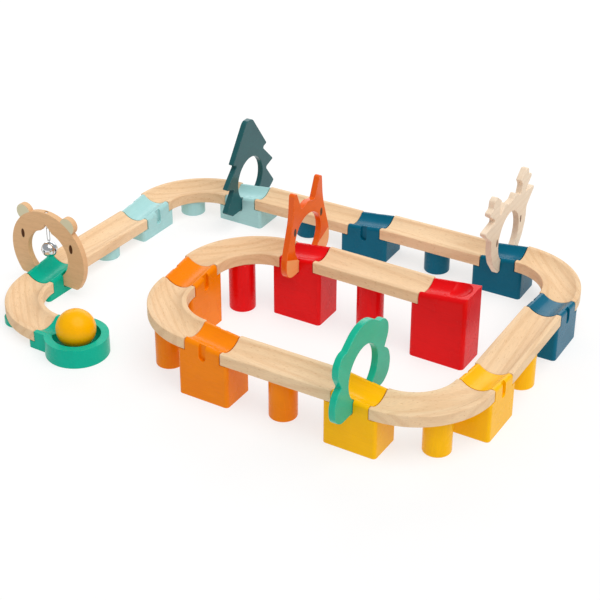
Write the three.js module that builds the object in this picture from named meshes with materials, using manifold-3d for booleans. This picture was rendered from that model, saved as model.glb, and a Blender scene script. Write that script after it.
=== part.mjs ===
// A wooden toy marble run: painted blocks joined by straight and curved beech tracks, five arches
// that straddle the run, and a bowl at the end that catches the ball.
// Millimetres, +Z up. The run starts at the tallest block and drops one step at every block.
import * as THREE from "three";
import { mergeVertices } from "three/addons/utils/BufferGeometryUtils.js";
import Module from "manifold-3d";

const wasm = await Module();
wasm.setup();

// Driving sizes. The ball sets the scale of everything else.
const ballRadius = 22.5;
const width = 43.5; // of every block and track
const touchGap = 0.3; // left between pieces that rest on each other
const endGap = 0.8; // between a track's end and the shoulder it butts against

const blockLength = 62;
const shoulderLength = 42.6; // the raised middle of a block, between its two ledges
const blockCornerRadius = 3;
const firstTop = 81.6; // rim height where the ball leaves the start block
const step = 5.35; // the drop across one block
const slope = step / shoulderLength;

const trackThickness = 13.8;
const straightLength = 132.3;
const curveRadius = 72.5; // of a curved track's centre line
const quarterTurn = Math.PI / 2;
const curveSteps = 11;

const channelRadius = 23.5;
const channelDepth = 7.45;
const edgeRadius = 2; // on the outer edges of blocks and tracks
const lipRadius = 1.4; // where the channel meets the flat rim

const slotWidth = 8.2; // the groove in a block's side that holds one leg of an arch
const slotInset = 3.4;
const slotDrop = 18.6; // from the rim down to the lowest point of the groove

const archThickness = 7.4;
const footDrop = 15.6; // from the rim down to the soles of an arch
const legInside = width / 2 - slotInset + touchGap;

const postRadius = 15.5;
const postChamfer = 1;

const startTail = 35.6; // from the start block's middle to its closed end
const pocketDepth = 8.4; // the dimple in the start block that the ball is set in
const pocketAt = -11.9;

const bowlRadius = 36.2;
const bowlInside = 27.2;
const bowlFloor = 7;
const bowlAt = 21.5; // from the middle of the last block to the middle of the bowl
const roundSegments = 36;

// Paints and woods, as colour, roughness and metalness.
const finishes = {
  red: ["#d3141b", 0.42, 0],
  orange: ["#ee7d00", 0.42, 0],
  yellow: ["#fbc000", 0.42, 0],
  darkBlue: ["#006a84", 0.42, 0],
  lightBlue: ["#9fd3d2", 0.45, 0],
  green: ["#00a78a", 0.42, 0],
  beech: ["#e8c49a", 0.6, 0],
  foxPaint: ["#ee6f1e", 0.45, 0],
  leafPaint: ["#40b396", 0.45, 0],
  firPaint: ["#3f6a70", 0.5, 0],
  paleWood: ["#e6cdb6", 0.6, 0],
  bearPaint: ["#d0a476", 0.55, 0],
  ball: ["#fbb900", 0.35, 0],
  steel: ["#c8cacc", 0.25, 1],
};

function finish(name) {
  const [color, roughness, metalness] = finishes[name];
  return new THREE.MeshStandardMaterial({ color, roughness, metalness });
}

// --- Solids ---------------------------------------------------------------------------------

function toSolid(geometry) {
  const bare = geometry.clone();
  bare.deleteAttribute("normal");
  bare.deleteAttribute("uv");
  const merged = mergeVertices(bare, 1e-4);
  return new wasm.Manifold(
    new wasm.Mesh({
      numProp: 3,
      vertProperties: new Float32Array(merged.attributes.position.array),
      triVerts: new Uint32Array(merged.index.array),
    }),
  );
}

function toGeometry(solid) {
  const { vertProperties, triVerts } = solid.getMesh();
  const geometry = new THREE.BufferGeometry();
  geometry.setAttribute("position", new THREE.BufferAttribute(new Float32Array(vertProperties), 3));
  geometry.setIndex(new THREE.BufferAttribute(new Uint32Array(triVerts), 1));
  geometry.computeVertexNormals();
  return geometry;
}

// A box given by its lowest and highest corners.
function boxSolid([x0, y0, z0], [x1, y1, z1]) {
  const box = new THREE.BoxGeometry(x1 - x0, y1 - y0, z1 - z0);
  return toSolid(box.translate((x0 + x1) / 2, (y0 + y1) / 2, (z0 + z1) / 2));
}

// Carries a path through its corners, each [across, up, radius] rounded by its own radius.
function traceCorners(path, corners) {
  for (let i = 1; i < corners.length - 1; i += 1) {
    const [before, at, after] = [i - 1, i, i + 1].map(
      (n) => new THREE.Vector2(corners[n][0], corners[n][1]),
    );
    const back = before.sub(at).normalize();
    const ahead = after.sub(at).normalize();
    const reach = corners[i][2] / Math.tan(back.angleTo(ahead) / 2);
    const start = at.clone().addScaledVector(back, reach);
    const end = at.clone().addScaledVector(ahead, reach);
    path.lineTo(start.x, start.y);
    path.quadraticCurveTo(at.x, at.y, end.x, end.y);
  }
  const last = corners[corners.length - 1];
  path.lineTo(last[0], last[1]);
}

// Extrudes a section drawn as (across, up) along the run, from x = 0 to x = length.
function alongRun(section, length, steps = 1) {
  const bar = new THREE.ExtrudeGeometry(section, {
    depth: length,
    steps,
    curveSegments: 3,
    bevelEnabled: false,
  });
  const turn = new THREE.Matrix4().makeBasis(
    new THREE.Vector3(0, 1, 0),
    new THREE.Vector3(0, 0, 1),
    new THREE.Vector3(1, 0, 0),
  );
  return bar.applyMatrix4(turn);
}

// Moves every vertex of a geometry by a rule from its old place to its new one.
function reshape(geometry, rule) {
  const places = geometry.attributes.position;
  const point = new THREE.Vector3();
  for (let i = 0; i < places.count; i += 1) {
    rule(point.fromBufferAttribute(places, i));
    places.setXYZ(i, point.x, point.y, point.z);
  }
  geometry.computeVertexNormals();
  return geometry;
}

// --- The section that blocks and tracks share ---------------------------------------------------

const channelCentre = channelRadius - channelDepth;
const channelHalf = Math.sqrt(channelRadius ** 2 - channelCentre ** 2);
const channelLean = Math.atan2(channelCentre, channelHalf);
const lipLean = lipRadius / channelRadius;

// The rim is at height 0, the channel is cut into it, and the bar reaches down to -depth.
function barSection(depth) {
  const side = width / 2;
  const section = new THREE.Shape();
  section.absarc(
    0, channelCentre, channelRadius,
    Math.PI + channelLean + lipLean, 2 * Math.PI - channelLean - lipLean, false,
  );
  section.quadraticCurveTo(channelHalf, 0, channelHalf + lipRadius, 0);
  traceCorners(section, [
    [channelHalf + lipRadius, 0, 0],
    [side, 0, edgeRadius],
    [side, -depth, edgeRadius],
    [-side, -depth, edgeRadius],
    [-side, 0, edgeRadius],
    [-channelHalf - lipRadius, 0, 0],
  ]);
  section.quadraticCurveTo(
    -channelHalf, 0,
    -channelRadius * Math.cos(channelLean + lipLean),
    channelCentre - channelRadius * Math.sin(channelLean + lipLean),
  );
  return section;
}

function plainSection(depth) {
  const side = width / 2;
  const section = new THREE.Shape();
  section.moveTo(0, 0);
  traceCorners(section, [
    [0, 0, 0],
    [side, 0, edgeRadius],
    [side, -depth, edgeRadius],
    [-side, -depth, edgeRadius],
    [-side, 0, edgeRadius],
    [0, 0, 0],
  ]);
  return section;
}

// The space above the channel's floor, as a cutter for blocks that close it off at one end.
function channelCutter(length) {
  const above = 10;
  const space = new THREE.Shape();
  space.absarc(
    0, channelCentre, channelRadius,
    Math.PI + channelLean, 2 * Math.PI - channelLean, false,
  );
  space.lineTo(channelHalf, above);
  space.lineTo(-channelHalf, above);
  return alongRun(space, length);
}

// --- Tracks ---------------------------------------------------------------------------------

function straightTrack() {
  return alongRun(barSection(trackThickness), straightLength).translate(-straightLength / 2, 0, 0);
}

// A quarter turn to the left that starts at the origin, heading along +X.
function curvedTrack() {
  const bar = alongRun(barSection(trackThickness), curveRadius * quarterTurn, curveSteps);
  return reshape(bar, (point) => {
    const angle = point.x / curveRadius;
    const radius = curveRadius - point.y;
    point.x = radius * Math.sin(angle);
    point.y = curveRadius - radius * Math.cos(angle);
  });
}

// --- Blocks ---------------------------------------------------------------------------------

// The block's outline seen from above, as a tall prism that stands on the floor.
function footprint(fromX, toX, height) {
  const side = width / 2;
  const middle = (fromX + toX) / 2;
  const plan = new THREE.Shape();
  plan.moveTo(middle, -side);
  traceCorners(plan, [
    [middle, -side, 0],
    [toX, -side, blockCornerRadius],
    [toX, side, blockCornerRadius],
    [fromX, side, blockCornerRadius],
    [fromX, -side, blockCornerRadius],
    [middle, -side, 0],
  ]);
  return toSolid(
    new THREE.ExtrudeGeometry(plan, { depth: height, curveSegments: 4, bevelEnabled: false }),
  );
}

// Lifts a bar to a rim height and shears it to fall by one step over the block's shoulder length.
function tilted(bar, rim) {
  return reshape(bar, (point) => {
    point.z += rim - slope * point.x;
  });
}

function ledgeCutter(side, trackTop, reach) {
  const ledge = trackTop - trackThickness - touchGap;
  const ends = [(side * shoulderLength) / 2, side * reach].sort((a, b) => a - b);
  return boxSolid([ends[0], -width, ledge], [ends[1], width, ledge + 4 * trackThickness]);
}

function slotCutter(side, rim) {
  const radius = slotWidth / 2;
  const overshoot = 10;
  const slot = new THREE.Shape();
  slot.absarc(0, radius - slotDrop, radius, Math.PI, 2 * Math.PI, false);
  slot.lineTo(radius, overshoot);
  slot.lineTo(-radius, overshoot);
  const cutter = new THREE.ExtrudeGeometry(slot, {
    depth: slotInset + overshoot,
    curveSegments: 4,
    bevelEnabled: false,
  });
  cutter.rotateX(Math.PI / 2);
  cutter.translate(0, side > 0 ? width / 2 + overshoot : slotInset - width / 2, rim);
  return toSolid(cutter);
}

// A block between two tracks: its top falls by one step towards the lower track.
function middleBlock(lowerTop) {
  const rim = lowerTop + step / 2;
  const reach = blockLength / 2 + 1;
  const bar = alongRun(barSection(rim + step + edgeRadius), 2 * reach).translate(-reach, 0, 0);
  let solid = toSolid(tilted(bar, rim));
  solid = solid.intersect(footprint(-blockLength / 2, blockLength / 2, rim + step));
  solid = solid.subtract(ledgeCutter(-1, lowerTop + step, reach));
  solid = solid.subtract(ledgeCutter(1, lowerTop, reach));
  for (const side of [-1, 1]) {
    solid = solid.subtract(slotCutter(side, rim));
  }
  return toGeometry(solid);
}

// The tallest block has a closed end with a dimple, and one ledge.
function startBlock(lowerTop) {
  const rim = lowerTop + step / 2;
  const reach = blockLength / 2 + 1;
  const bar = alongRun(plainSection(rim + step + edgeRadius), startTail + 1 + reach);
  let solid = toSolid(tilted(bar.translate(-startTail - 1, 0, 0), rim));
  solid = solid.intersect(footprint(-startTail, blockLength / 2, rim + 2 * step));
  solid = solid.subtract(ledgeCutter(1, lowerTop, reach));
  const channel = channelCutter(reach - pocketAt).translate(pocketAt, 0, 0);
  solid = solid.subtract(toSolid(tilted(channel, rim)));
  const pocket = new THREE.SphereGeometry(channelRadius, roundSegments, roundSegments / 2);
  pocket.rotateX(quarterTurn);
  pocket.translate(pocketAt, 0, rim - slope * pocketAt + channelRadius - pocketDepth);
  return toGeometry(solid.subtract(toSolid(pocket)));
}

// The last block opens into a round bowl that catches the ball.
function bowlBlock(rim) {
  const reach = blockLength / 2 + 1;
  const outside = new THREE.Path();
  outside.moveTo(0, 0);
  traceCorners(outside, [
    [0, 0, 0],
    [bowlRadius, 0, edgeRadius / 2],
    [bowlRadius, rim, edgeRadius],
    [0, rim, 0],
  ]);
  const drum = new THREE.LatheGeometry(outside.getPoints(3), roundSegments);
  drum.rotateX(quarterTurn).translate(bowlAt, 0, 0);
  const bar = alongRun(plainSection(rim + edgeRadius), reach + bowlAt).translate(-reach, 0, rim);
  let solid = toSolid(bar).intersect(footprint(-blockLength / 2, bowlAt + blockCornerRadius, rim));
  solid = solid.add(toSolid(drum));
  solid = solid.subtract(ledgeCutter(-1, rim, reach));
  const inside = new THREE.Path();
  const above = rim + 5;
  inside.moveTo(0, bowlFloor);
  inside.quadraticCurveTo(bowlInside, bowlFloor, bowlInside, rim - edgeRadius);
  inside.lineTo(bowlInside, above);
  inside.lineTo(0, above);
  const hollow = new THREE.LatheGeometry(inside.getPoints(8), roundSegments);
  hollow.rotateX(quarterTurn).translate(bowlAt, 0, 0);
  solid = solid.subtract(toSolid(hollow));
  const channel = channelCutter(reach + bowlAt).translate(-reach, 0, rim);
  return toGeometry(solid.subtract(toSolid(channel)));
}

// --- Arches ---------------------------------------------------------------------------------
// Each arch is drawn as its right half, up from the rim of the block that it stands on:
// a rule that traces the outside from the crown down to the sole, and a round opening.

const footZ = -footDrop;

const arches = {
  fox: {
    opening: { radius: 29, centre: 20.3 },
    corners: [
      [0, 65.2, 0],
      [14.6, 61.8, 2.5], // where the ear rises from the head
      [25, 85.4, 3],
      [30.6, 85.4, 3],
      [33, 56, 80],
      [48.2, 9, 25],
      [48.6, footZ, 15],
    ],
  },
  tree: {
    opening: { radius: 29.9, centre: 22.3 },
    corners: [
      [0, 78.8, 0],
      [13, 78.8, 34], // top lobe
      [33.8, 64.4, 1.2],
      [43, 63.6, 12], // middle lobe
      [51.6, 54, 12],
      [52, 42, 14],
      [44.2, 27.8, 1.2],
      [53.5, 21.5, 15], // lowest lobe
      [58.2, 7, 22],
      [55.5, -8, 14],
      [44, footZ, 14],
    ],
  },
  fir: {
    opening: { radius: 28.9, centre: 19.5 },
    corners: [
      [0, 99.5, 0],
      [7, 99.5, 8],
      [40.2, 53.2, 1.6], // upper tier of branches
      [30.2, 50.4, 2.5],
      [55.2, 25.2, 1.6], // lower tier
      [37.2, 19.6, 2.5],
      [57, -6.5, 2.5], // foot
      [43, footZ, 4],
    ],
  },
  reindeer: {
    opening: { radius: 30, centre: 22 },
    corners: [
      [0, 66, 0],
      [8, 66, 3],
      [14, 71.5, 2.5],
      [30, 62, 2],
      [34, 74, 5],
      [28.2, 80.8, 1.6], // inner point of the antler
      [42.5, 91.5, 4],
      [50, 89, 4],
      [52, 79.6, 2.5],
      [60.6, 77.8, 2], // outer point of the antler
      [60, 73.4, 2],
      [46, 64, 2.5],
      [45.6, 60, 2],
      [71.4, 57, 1.8], // tip of the ear
      [70.6, 53, 1.8],
      [51.8, 38.2, 5],
      [51.4, 22, 25],
      [44.6, 5, 25],
      [27, footZ, 3],
    ],
  },
};

const bearHead = { radius: 55, centre: 19.6 };
const bearEar = { radius: 10.4, across: 33.2, up: 66.3 };
const bearOpening = { radius: 30.4, centre: 20 };
const bearPeak = 59.5; // the pointed top of the bear's opening, where the bell hangs
const peakHalf = 8.6;
const bearFootRadius = 4;
const bearFootHalf = Math.sqrt(bearHead.radius ** 2 - (footZ - bearHead.centre) ** 2);

// The head's arc, the ear's arc between the two places where their circles cross, and the head again.
function traceBear(half) {
  const up = bearEar.up - bearHead.centre;
  const apart = Math.hypot(bearEar.across, up);
  const towardsEar = Math.atan2(up, bearEar.across);
  const onHead = Math.acos(
    (bearHead.radius ** 2 + apart ** 2 - bearEar.radius ** 2) / (2 * bearHead.radius * apart),
  );
  const onEar = Math.acos(
    (bearEar.radius ** 2 + apart ** 2 - bearHead.radius ** 2) / (2 * bearEar.radius * apart),
  );
  const { radius, centre } = bearHead;
  const sole = Math.asin((footZ + bearFootRadius - centre) / radius);
  half.absarc(0, centre, radius, quarterTurn, towardsEar + onHead, true);
  half.absarc(
    bearEar.across, bearEar.up, bearEar.radius,
    towardsEar + Math.PI - onEar, towardsEar - Math.PI + onEar, true,
  );
  half.absarc(0, centre, radius, towardsEar - onHead, sole, true);
  half.quadraticCurveTo(bearFootHalf, footZ, bearFootHalf - bearFootRadius, footZ);
}

// Draws the right half, then mirrors it into the whole outline.
function archShape(traceOutside, opening, peak) {
  const half = new THREE.Path();
  traceOutside(half);
  const springUp = opening.centre - Math.sqrt(opening.radius ** 2 - legInside ** 2);
  const spring = Math.atan2(springUp - opening.centre, legInside);
  half.lineTo(legInside, footZ);
  half.lineTo(legInside, springUp);
  if (peak) {
    const notch = Math.acos(peakHalf / opening.radius);
    half.absarc(0, opening.centre, opening.radius, spring, notch, false);
    half.lineTo(0, peak);
  } else {
    half.absarc(0, opening.centre, opening.radius, spring, quarterTurn, false);
  }
  const right = half.getPoints(4);
  const left = right.slice(1, -1).reverse().map((point) => new THREE.Vector2(-point.x, point.y));
  return new THREE.Shape([...right, ...left]);
}

function archGeometry(shape) {
  return alongRun(shape, archThickness).translate(-archThickness / 2, 0, 0);
}

function cornerArch({ corners, opening }) {
  return archShape((half) => {
    half.moveTo(corners[0][0], corners[0][1]);
    traceCorners(half, [...corners, [legInside, footZ, 0]]);
  }, opening);
}

// --- The bell and its pin ---------------------------------------------------------------------
// Heights are up from the rim of the block that the bear stands on.

const bearCrown = bearHead.centre + bearHead.radius;
const pin = { radius: 1, hole: 1.3, headRadius: 2, headHole: 2.4, headThickness: 1.2, sunk: 1 };
const eye = { radius: 1.9, wire: 0.55, up: 55.2 };
const loop = { length: 18.9, bend: 2.1, wire: 0.45 };
const bell = { radius: 9.6, wall: 0.9, slit: 1.8, slitHole: 1.6, slitTop: -2.4 };
const shank = { radius: 1.6, wire: 0.5, sunk: 0.6 };
const peaRadius = 2.6;

// The loop hangs from the eye, the shank hangs from the loop, and the shell is below the shank.
const loopTop = eye.up - (eye.radius - eye.wire) + loop.wire + touchGap;
const loopBottom = loopTop - loop.length + 2 * loop.wire;
const shankUp = loopBottom + loop.wire + touchGap - (shank.radius - shank.wire);
const bellUp = shankUp - shank.radius + shank.sunk - bell.radius;

function uprightRod(radius, fromZ, toZ) {
  const rod = new THREE.CylinderGeometry(radius, radius, toZ - fromZ, 14);
  return toSolid(rod.rotateX(quarterTurn).translate(0, 0, (fromZ + toZ) / 2));
}

// A ring of wire that stands upright, with its hole facing across the run.
function wireRing({ radius, wire }, up) {
  return toSolid(new THREE.TorusGeometry(radius, wire, 6, 14).rotateX(quarterTurn).translate(0, 0, up));
}

function bearArch() {
  const plate = toSolid(archGeometry(archShape(traceBear, bearOpening, bearPeak)));
  const bore = uprightRod(pin.hole, bearOpening.centre, bearCrown + 1);
  const headFloor = bearCrown - pin.sunk - pin.headThickness - touchGap;
  return toGeometry(plate.subtract(bore).subtract(uprightRod(pin.headHole, headFloor, bearCrown + 1)));
}

function eyePin() {
  const headTop = bearCrown - pin.sunk;
  const shaft = uprightRod(pin.radius, eye.up + eye.radius, headTop - pin.headThickness / 2);
  const head = uprightRod(pin.headRadius, headTop - pin.headThickness, headTop);
  return toGeometry(shaft.add(head).add(wireRing(eye, eye.up)));
}

// A long link of wire in the plane of the arch: a ring pulled apart into two bends and two sides.
function bellLoop() {
  const segments = 16;
  const ring = new THREE.TorusGeometry(loop.bend, loop.wire, 8, segments);
  ring.rotateZ(Math.PI / segments).rotateX(quarterTurn).rotateZ(quarterTurn);
  const pull = loop.length / 2 - loop.wire - loop.bend;
  return reshape(ring, (point) => {
    point.z += Math.sign(point.z) * pull + (loopTop + loopBottom) / 2;
  });
}

function ballSolid(radius) {
  return toSolid(new THREE.SphereGeometry(radius, 20, 14).rotateX(quarterTurn));
}

// A hollow shell with two crossed slits that end in round holes, and a ring on top to hang it by.
function bellShell() {
  const { radius, wall, slit, slitHole, slitTop } = bell;
  const out = radius + 1;
  let shell = ballSolid(radius).subtract(ballSolid(radius - wall));
  for (const turn of [0, 1]) {
    const cut = boxSolid([-out, -slit / 2, -out], [out, slit / 2, slitTop]);
    const hole = new THREE.CylinderGeometry(slitHole, slitHole, 2 * out, 10);
    const cutter = cut.add(toSolid(hole.rotateZ(quarterTurn).translate(0, 0, slitTop)));
    shell = shell.subtract(cutter.rotate([0, 0, 90 * turn]));
  }
  return toGeometry(shell.add(wireRing(shank, shankUp - bellUp))).translate(0, 0, bellUp);
}

function bellPea() {
  const up = bellUp - bell.radius + bell.wall + peaRadius + touchGap;
  return new THREE.SphereGeometry(peaRadius, 12, 8).translate(0, 0, up);
}

// --- Posts and ball ---------------------------------------------------------------------------

function post(height) {
  const profile = [
    [0, 0],
    [postRadius - postChamfer, 0],
    [postRadius, postChamfer],
    [postRadius, height - postChamfer],
    [postRadius - postChamfer, height],
    [0, height],
  ].map(([radius, up]) => new THREE.Vector2(radius, up));
  return new THREE.LatheGeometry(profile, 24).rotateX(quarterTurn);
}

// --- The run, block by block --------------------------------------------------------------------
// Each stop is a block, its paint, how far it is set askew in degrees, the piece that leaves it,
// the post under that piece (name, paint and how far it stands off the middle) and an arch.

const stops = [
  {
    block: "start_block",
    paint: "red",
    skew: 0.3,
    track: "track_straight_1",
    post: ["post_red_1", "red", -3.2, 0],
  },
  {
    block: "block_red",
    paint: "red",
    skew: 0.9,
    track: "track_curve_1",
    post: ["post_red_2", "red", 4.5, -5],
    arch: ["fox", "foxPaint"],
  },
  {
    block: "block_orange_1",
    paint: "orange",
    skew: -1.7,
    track: "track_curve_2",
    post: ["post_orange_1", "orange"],
  },
  {
    block: "block_orange_2",
    paint: "orange",
    skew: 0.9,
    track: "track_straight_2",
    post: ["post_orange_2", "orange", -2, 0],
  },
  {
    block: "block_yellow_1",
    paint: "yellow",
    skew: -0.6,
    track: "track_curve_3",
    post: ["post_yellow_1", "yellow", 2.5, 6.5],
    arch: ["tree", "leafPaint"],
  },
  {
    block: "block_yellow_2",
    paint: "yellow",
    skew: 1.4,
    track: "track_straight_3",
    post: ["post_yellow_2", "yellow", 5.2, 0],
  },
  {
    block: "block_blue_1",
    paint: "darkBlue",
    skew: 0.7,
    track: "track_curve_4",
    post: ["post_blue_1", "darkBlue"],
  },
  {
    block: "block_blue_2",
    paint: "darkBlue",
    skew: -0.7,
    track: "track_straight_4",
    post: ["post_blue_2", "darkBlue", 3.4, -2.6],
    arch: ["reindeer", "paleWood"],
  },
  {
    block: "block_blue_3",
    paint: "darkBlue",
    skew: 0.4,
    track: "track_straight_5",
    post: ["post_blue_3", "darkBlue"],
  },
  {
    block: "block_light_blue_1",
    paint: "lightBlue",
    skew: -1.9,
    track: "track_curve_5",
    post: ["post_light_blue_1", "lightBlue", 3.6, -3],
    arch: ["fir", "firPaint"],
  },
  {
    block: "block_light_blue_2",
    paint: "lightBlue",
    skew: -2.7,
    track: "track_straight_6",
    post: ["post_light_blue_2", "lightBlue", 5.4, 6.5],
  },
  {
    block: "block_green",
    paint: "green",
    skew: 1.2,
    track: "track_curve_6",
    post: ["post_green", "green", -2.8, -8.9],
    arch: ["bear", "bearPaint"],
  },
  {
    block: "bowl_block",
    paint: "green",
    skew: 1.8,
  },
];

const root = new THREE.Group();
root.name = "marble_run";

function place(parent, name, geometry, paint) {
  const mesh = new THREE.Mesh(geometry, finish(paint));
  mesh.name = name;
  parent.add(mesh);
  return mesh;
}

function groupAt(parent, x, y, z, yaw) {
  const group = new THREE.Group();
  group.position.set(x, y, z);
  group.rotation.z = yaw;
  parent.add(group);
  return group;
}

function blockGeometry(name, lowerTop) {
  if (name === "start_block") return startBlock(lowerTop);
  if (name === "bowl_block") return bowlBlock(lowerTop + step);
  return middleBlock(lowerTop);
}

function addArch(stand, kind, paint) {
  const geometry = kind === "bear" ? bearArch() : archGeometry(cornerArch(arches[kind]));
  place(stand, `arch_${kind}`, geometry, paint);
  if (kind === "bear") {
    place(stand, "bell_eye_pin", eyePin(), "steel");
    place(stand, "bell_loop", bellLoop(), "steel");
    place(stand, "bell_shell", bellShell(), "steel");
    place(stand, "bell_pea", bellPea(), "steel");
  }
}

// Lays a track from the block at the origin of the given group and stands a post under its middle.
// Answers how far along, how far to the left and through what turn the next block lies.
function addTrack(from, stop, top) {
  const start = shoulderLength / 2 + endGap;
  const curved = stop.track.startsWith("track_curve");
  const pitch = curved ? curveRadius + start : straightLength + 2 * start;
  const middle = curved
    ? [start + curveRadius * Math.sin(quarterTurn / 2), curveRadius * (1 - Math.cos(quarterTurn / 2))]
    : [pitch / 2, 0];
  const track = place(from, stop.track, curved ? curvedTrack() : straightTrack(), "beech");
  track.position.set(curved ? start : middle[0], 0, top);
  const [name, paint, offX = 0, offY = 0] = stop.post;
  const under = new THREE.Vector3(middle[0], middle[1], 0);
  from.updateMatrixWorld(true);
  from.localToWorld(under);
  const standing = place(root, name, post(top - trackThickness - touchGap), paint);
  standing.position.set(under.x + offX, under.y + offY, 0);
  return curved ? [pitch, pitch, quarterTurn] : [pitch, 0, 0];
}

let here = new THREE.Vector2(0, 0);
let heading = Math.PI;
stops.forEach((stop, count) => {
  const lowerTop = firstTop - step * count;
  const skew = THREE.MathUtils.degToRad(stop.skew);
  const stand = groupAt(root, here.x, here.y, 0, heading + skew / 2);
  place(stand, stop.block, blockGeometry(stop.block, lowerTop), stop.paint);
  heading += skew;
  if (stop.arch) {
    const saddle = groupAt(stand, 0, 0, lowerTop + step / 2, 0);
    addArch(saddle, ...stop.arch);
  }
  if (stop.track) {
    const from = groupAt(root, here.x, here.y, 0, heading);
    const [ahead, left, turn] = addTrack(from, stop, lowerTop);
    here = new THREE.Vector2(ahead, left).rotateAround(new THREE.Vector2(), heading).add(here);
    heading += turn;
  } else {
    const ball = place(stand, "ball", new THREE.SphereGeometry(ballRadius, 28, 18), "ball");
    ball.position.set(bowlAt, 0, bowlFloor + ballRadius + touchGap);
  }
});

// The origin is under the middle of the whole run.
root.updateMatrixWorld(true);
const middle = new THREE.Box3().setFromObject(root, true).getCenter(new THREE.Vector3());
root.position.set(-middle.x, -middle.y, 0);

export default root;
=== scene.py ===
import math

import bmesh
import bpy
from mathutils import Matrix, Vector


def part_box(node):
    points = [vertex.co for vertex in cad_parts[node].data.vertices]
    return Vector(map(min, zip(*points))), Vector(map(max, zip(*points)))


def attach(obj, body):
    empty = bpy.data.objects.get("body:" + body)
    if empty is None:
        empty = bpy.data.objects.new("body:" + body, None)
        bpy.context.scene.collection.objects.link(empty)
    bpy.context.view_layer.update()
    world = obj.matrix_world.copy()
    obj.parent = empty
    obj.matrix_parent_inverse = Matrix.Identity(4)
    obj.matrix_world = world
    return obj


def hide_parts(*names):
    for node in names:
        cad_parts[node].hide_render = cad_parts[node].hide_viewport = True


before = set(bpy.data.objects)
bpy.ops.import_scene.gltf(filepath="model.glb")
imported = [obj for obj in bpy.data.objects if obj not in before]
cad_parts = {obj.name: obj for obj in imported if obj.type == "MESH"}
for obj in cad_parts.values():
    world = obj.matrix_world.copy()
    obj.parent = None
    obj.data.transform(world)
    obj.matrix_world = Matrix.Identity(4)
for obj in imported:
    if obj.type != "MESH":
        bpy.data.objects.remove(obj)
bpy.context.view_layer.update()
print("frame loaded:", len(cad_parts), "pieces")


def toLinear(hexColour):
    # an sRGB hex colour as linear red, green, blue and alpha
    parts = [int(hexColour[i:i + 2], 16) / 255 for i in (1, 3, 5)]
    return [p / 12.92 if p <= 0.04045 else ((p + 0.055) / 1.055) ** 2.4 for p in parts] + [1.0]


def addNode(tree, kind, settings=None, inputs=None):
    node = tree.nodes.new("ShaderNode" + kind)
    for key, value in (settings or {}).items():
        setattr(node, key, value)
    for key, value in (inputs or {}).items():
        if isinstance(value, bpy.types.NodeSocket):
            tree.links.new(value, node.inputs[key])
        else:
            node.inputs[key].default_value = value
    return node


millimetre = 0.001

# the run's sizes in millimetres, which all pieces share
run = {
    "width": 43.5,
    "step": 5.35,
    "firstTop": 81.6,
    "blockLength": 62.0,
    "shoulderLength": 42.6,
    "trackThickness": 13.8,
    "straightLength": 132.3,
    "curveRadius": 72.5,
    "endGap": 0.8,
    "touchGap": 0.3,
    "channelRadius": 23.5,
    "channelDepth": 6.6,
    "lipRadius": 2.5,
    "edgeRadius": 1.2,
}
half = run["width"] / 2
slope = run["step"] / run["shoulderLength"]
channelUp = run["channelRadius"] - run["channelDepth"]
channelHalf = math.sqrt(run["channelRadius"] ** 2 - channelUp ** 2)
# how far the rounded lip reaches to either side of the channel's mouth
mouthTurn = math.acos(channelUp / run["channelRadius"])
lipReach = run["lipRadius"] * math.tan(mouthTurn / 2)

# mesh tools: a flat outline is drawn in (across, up) and then given depth, a turn or a spin


def vertsIn(items):
    return [item for item in items if isinstance(item, bmesh.types.BMVert)]


def edgesIn(items):
    return [item for item in items if isinstance(item, bmesh.types.BMEdge)]


def drawOutline(moves):
    # moves are ("to", x, y, corner radius) or ("arc", centre x, centre y, degrees, steps)
    bm = bmesh.new()
    corners = []
    pen = first = None
    for move in moves:
        if move[0] == "to":
            new = bm.verts.new((move[1], move[2], 0))
            if pen is None:
                first = new
            else:
                bm.edges.new((pen, new))
            pen = new
            if move[3]:
                corners.append((new, move[3]))
        else:
            centre = (move[1], move[2], 0)
            spun = bmesh.ops.spin(bm, geom=[pen], cent=centre, axis=(0, 0, 1), dvec=(0, 0, 0),
                                  angle=math.radians(move[3]), steps=move[4], use_merge=False)
            pen = vertsIn(spun["geom_last"])[0]
    bm.edges.new((pen, first))
    bmesh.ops.edgeloop_fill(bm, edges=bm.edges[:])
    for vert, radius in corners:
        sides = [(edge.other_vert(vert).co - vert.co) for edge in vert.link_edges]
        opening = sides[0].angle(sides[1])
        # a corner never takes up quite all of the shorter side
        room = 0.98 * min(side.length for side in sides)
        reach = min(radius / math.tan(opening / 2), room)
        bmesh.ops.bevel(bm, geom=[vert], offset=reach, offset_type="OFFSET", segments=8,
                        profile=0.5, affect="VERTICES", material=-1)
    return bm


def giveDepth(bm, depth):
    # extrudes a flat outline along its normal, from 0 to depth
    made = bmesh.ops.extrude_face_region(bm, geom=bm.faces[:])
    bmesh.ops.translate(bm, verts=vertsIn(made["geom"]), vec=(0, 0, depth))
    bmesh.ops.recalc_face_normals(bm, faces=bm.faces[:])
    return bm


# outline x, y and depth become across (Y), up (Z) and along the run (X)
alongRun = Matrix(((0, 0, 1, 0), (1, 0, 0, 0), (0, 1, 0, 0), (0, 0, 0, 1)))


def turned(bm, matrix):
    bmesh.ops.transform(bm, matrix=matrix, verts=bm.verts[:])
    return bm


def moved(bm, x, y, z):
    bmesh.ops.translate(bm, verts=bm.verts[:], vec=(x, y, z))
    return bm


def makeBox(low, high):
    bm = bmesh.new()
    bmesh.ops.create_cube(bm, size=1)
    for axis in range(3):
        size = high[axis] - low[axis]
        for vert in bm.verts:
            vert.co[axis] = low[axis] + (vert.co[axis] + 0.5) * size
    return bm


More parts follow.
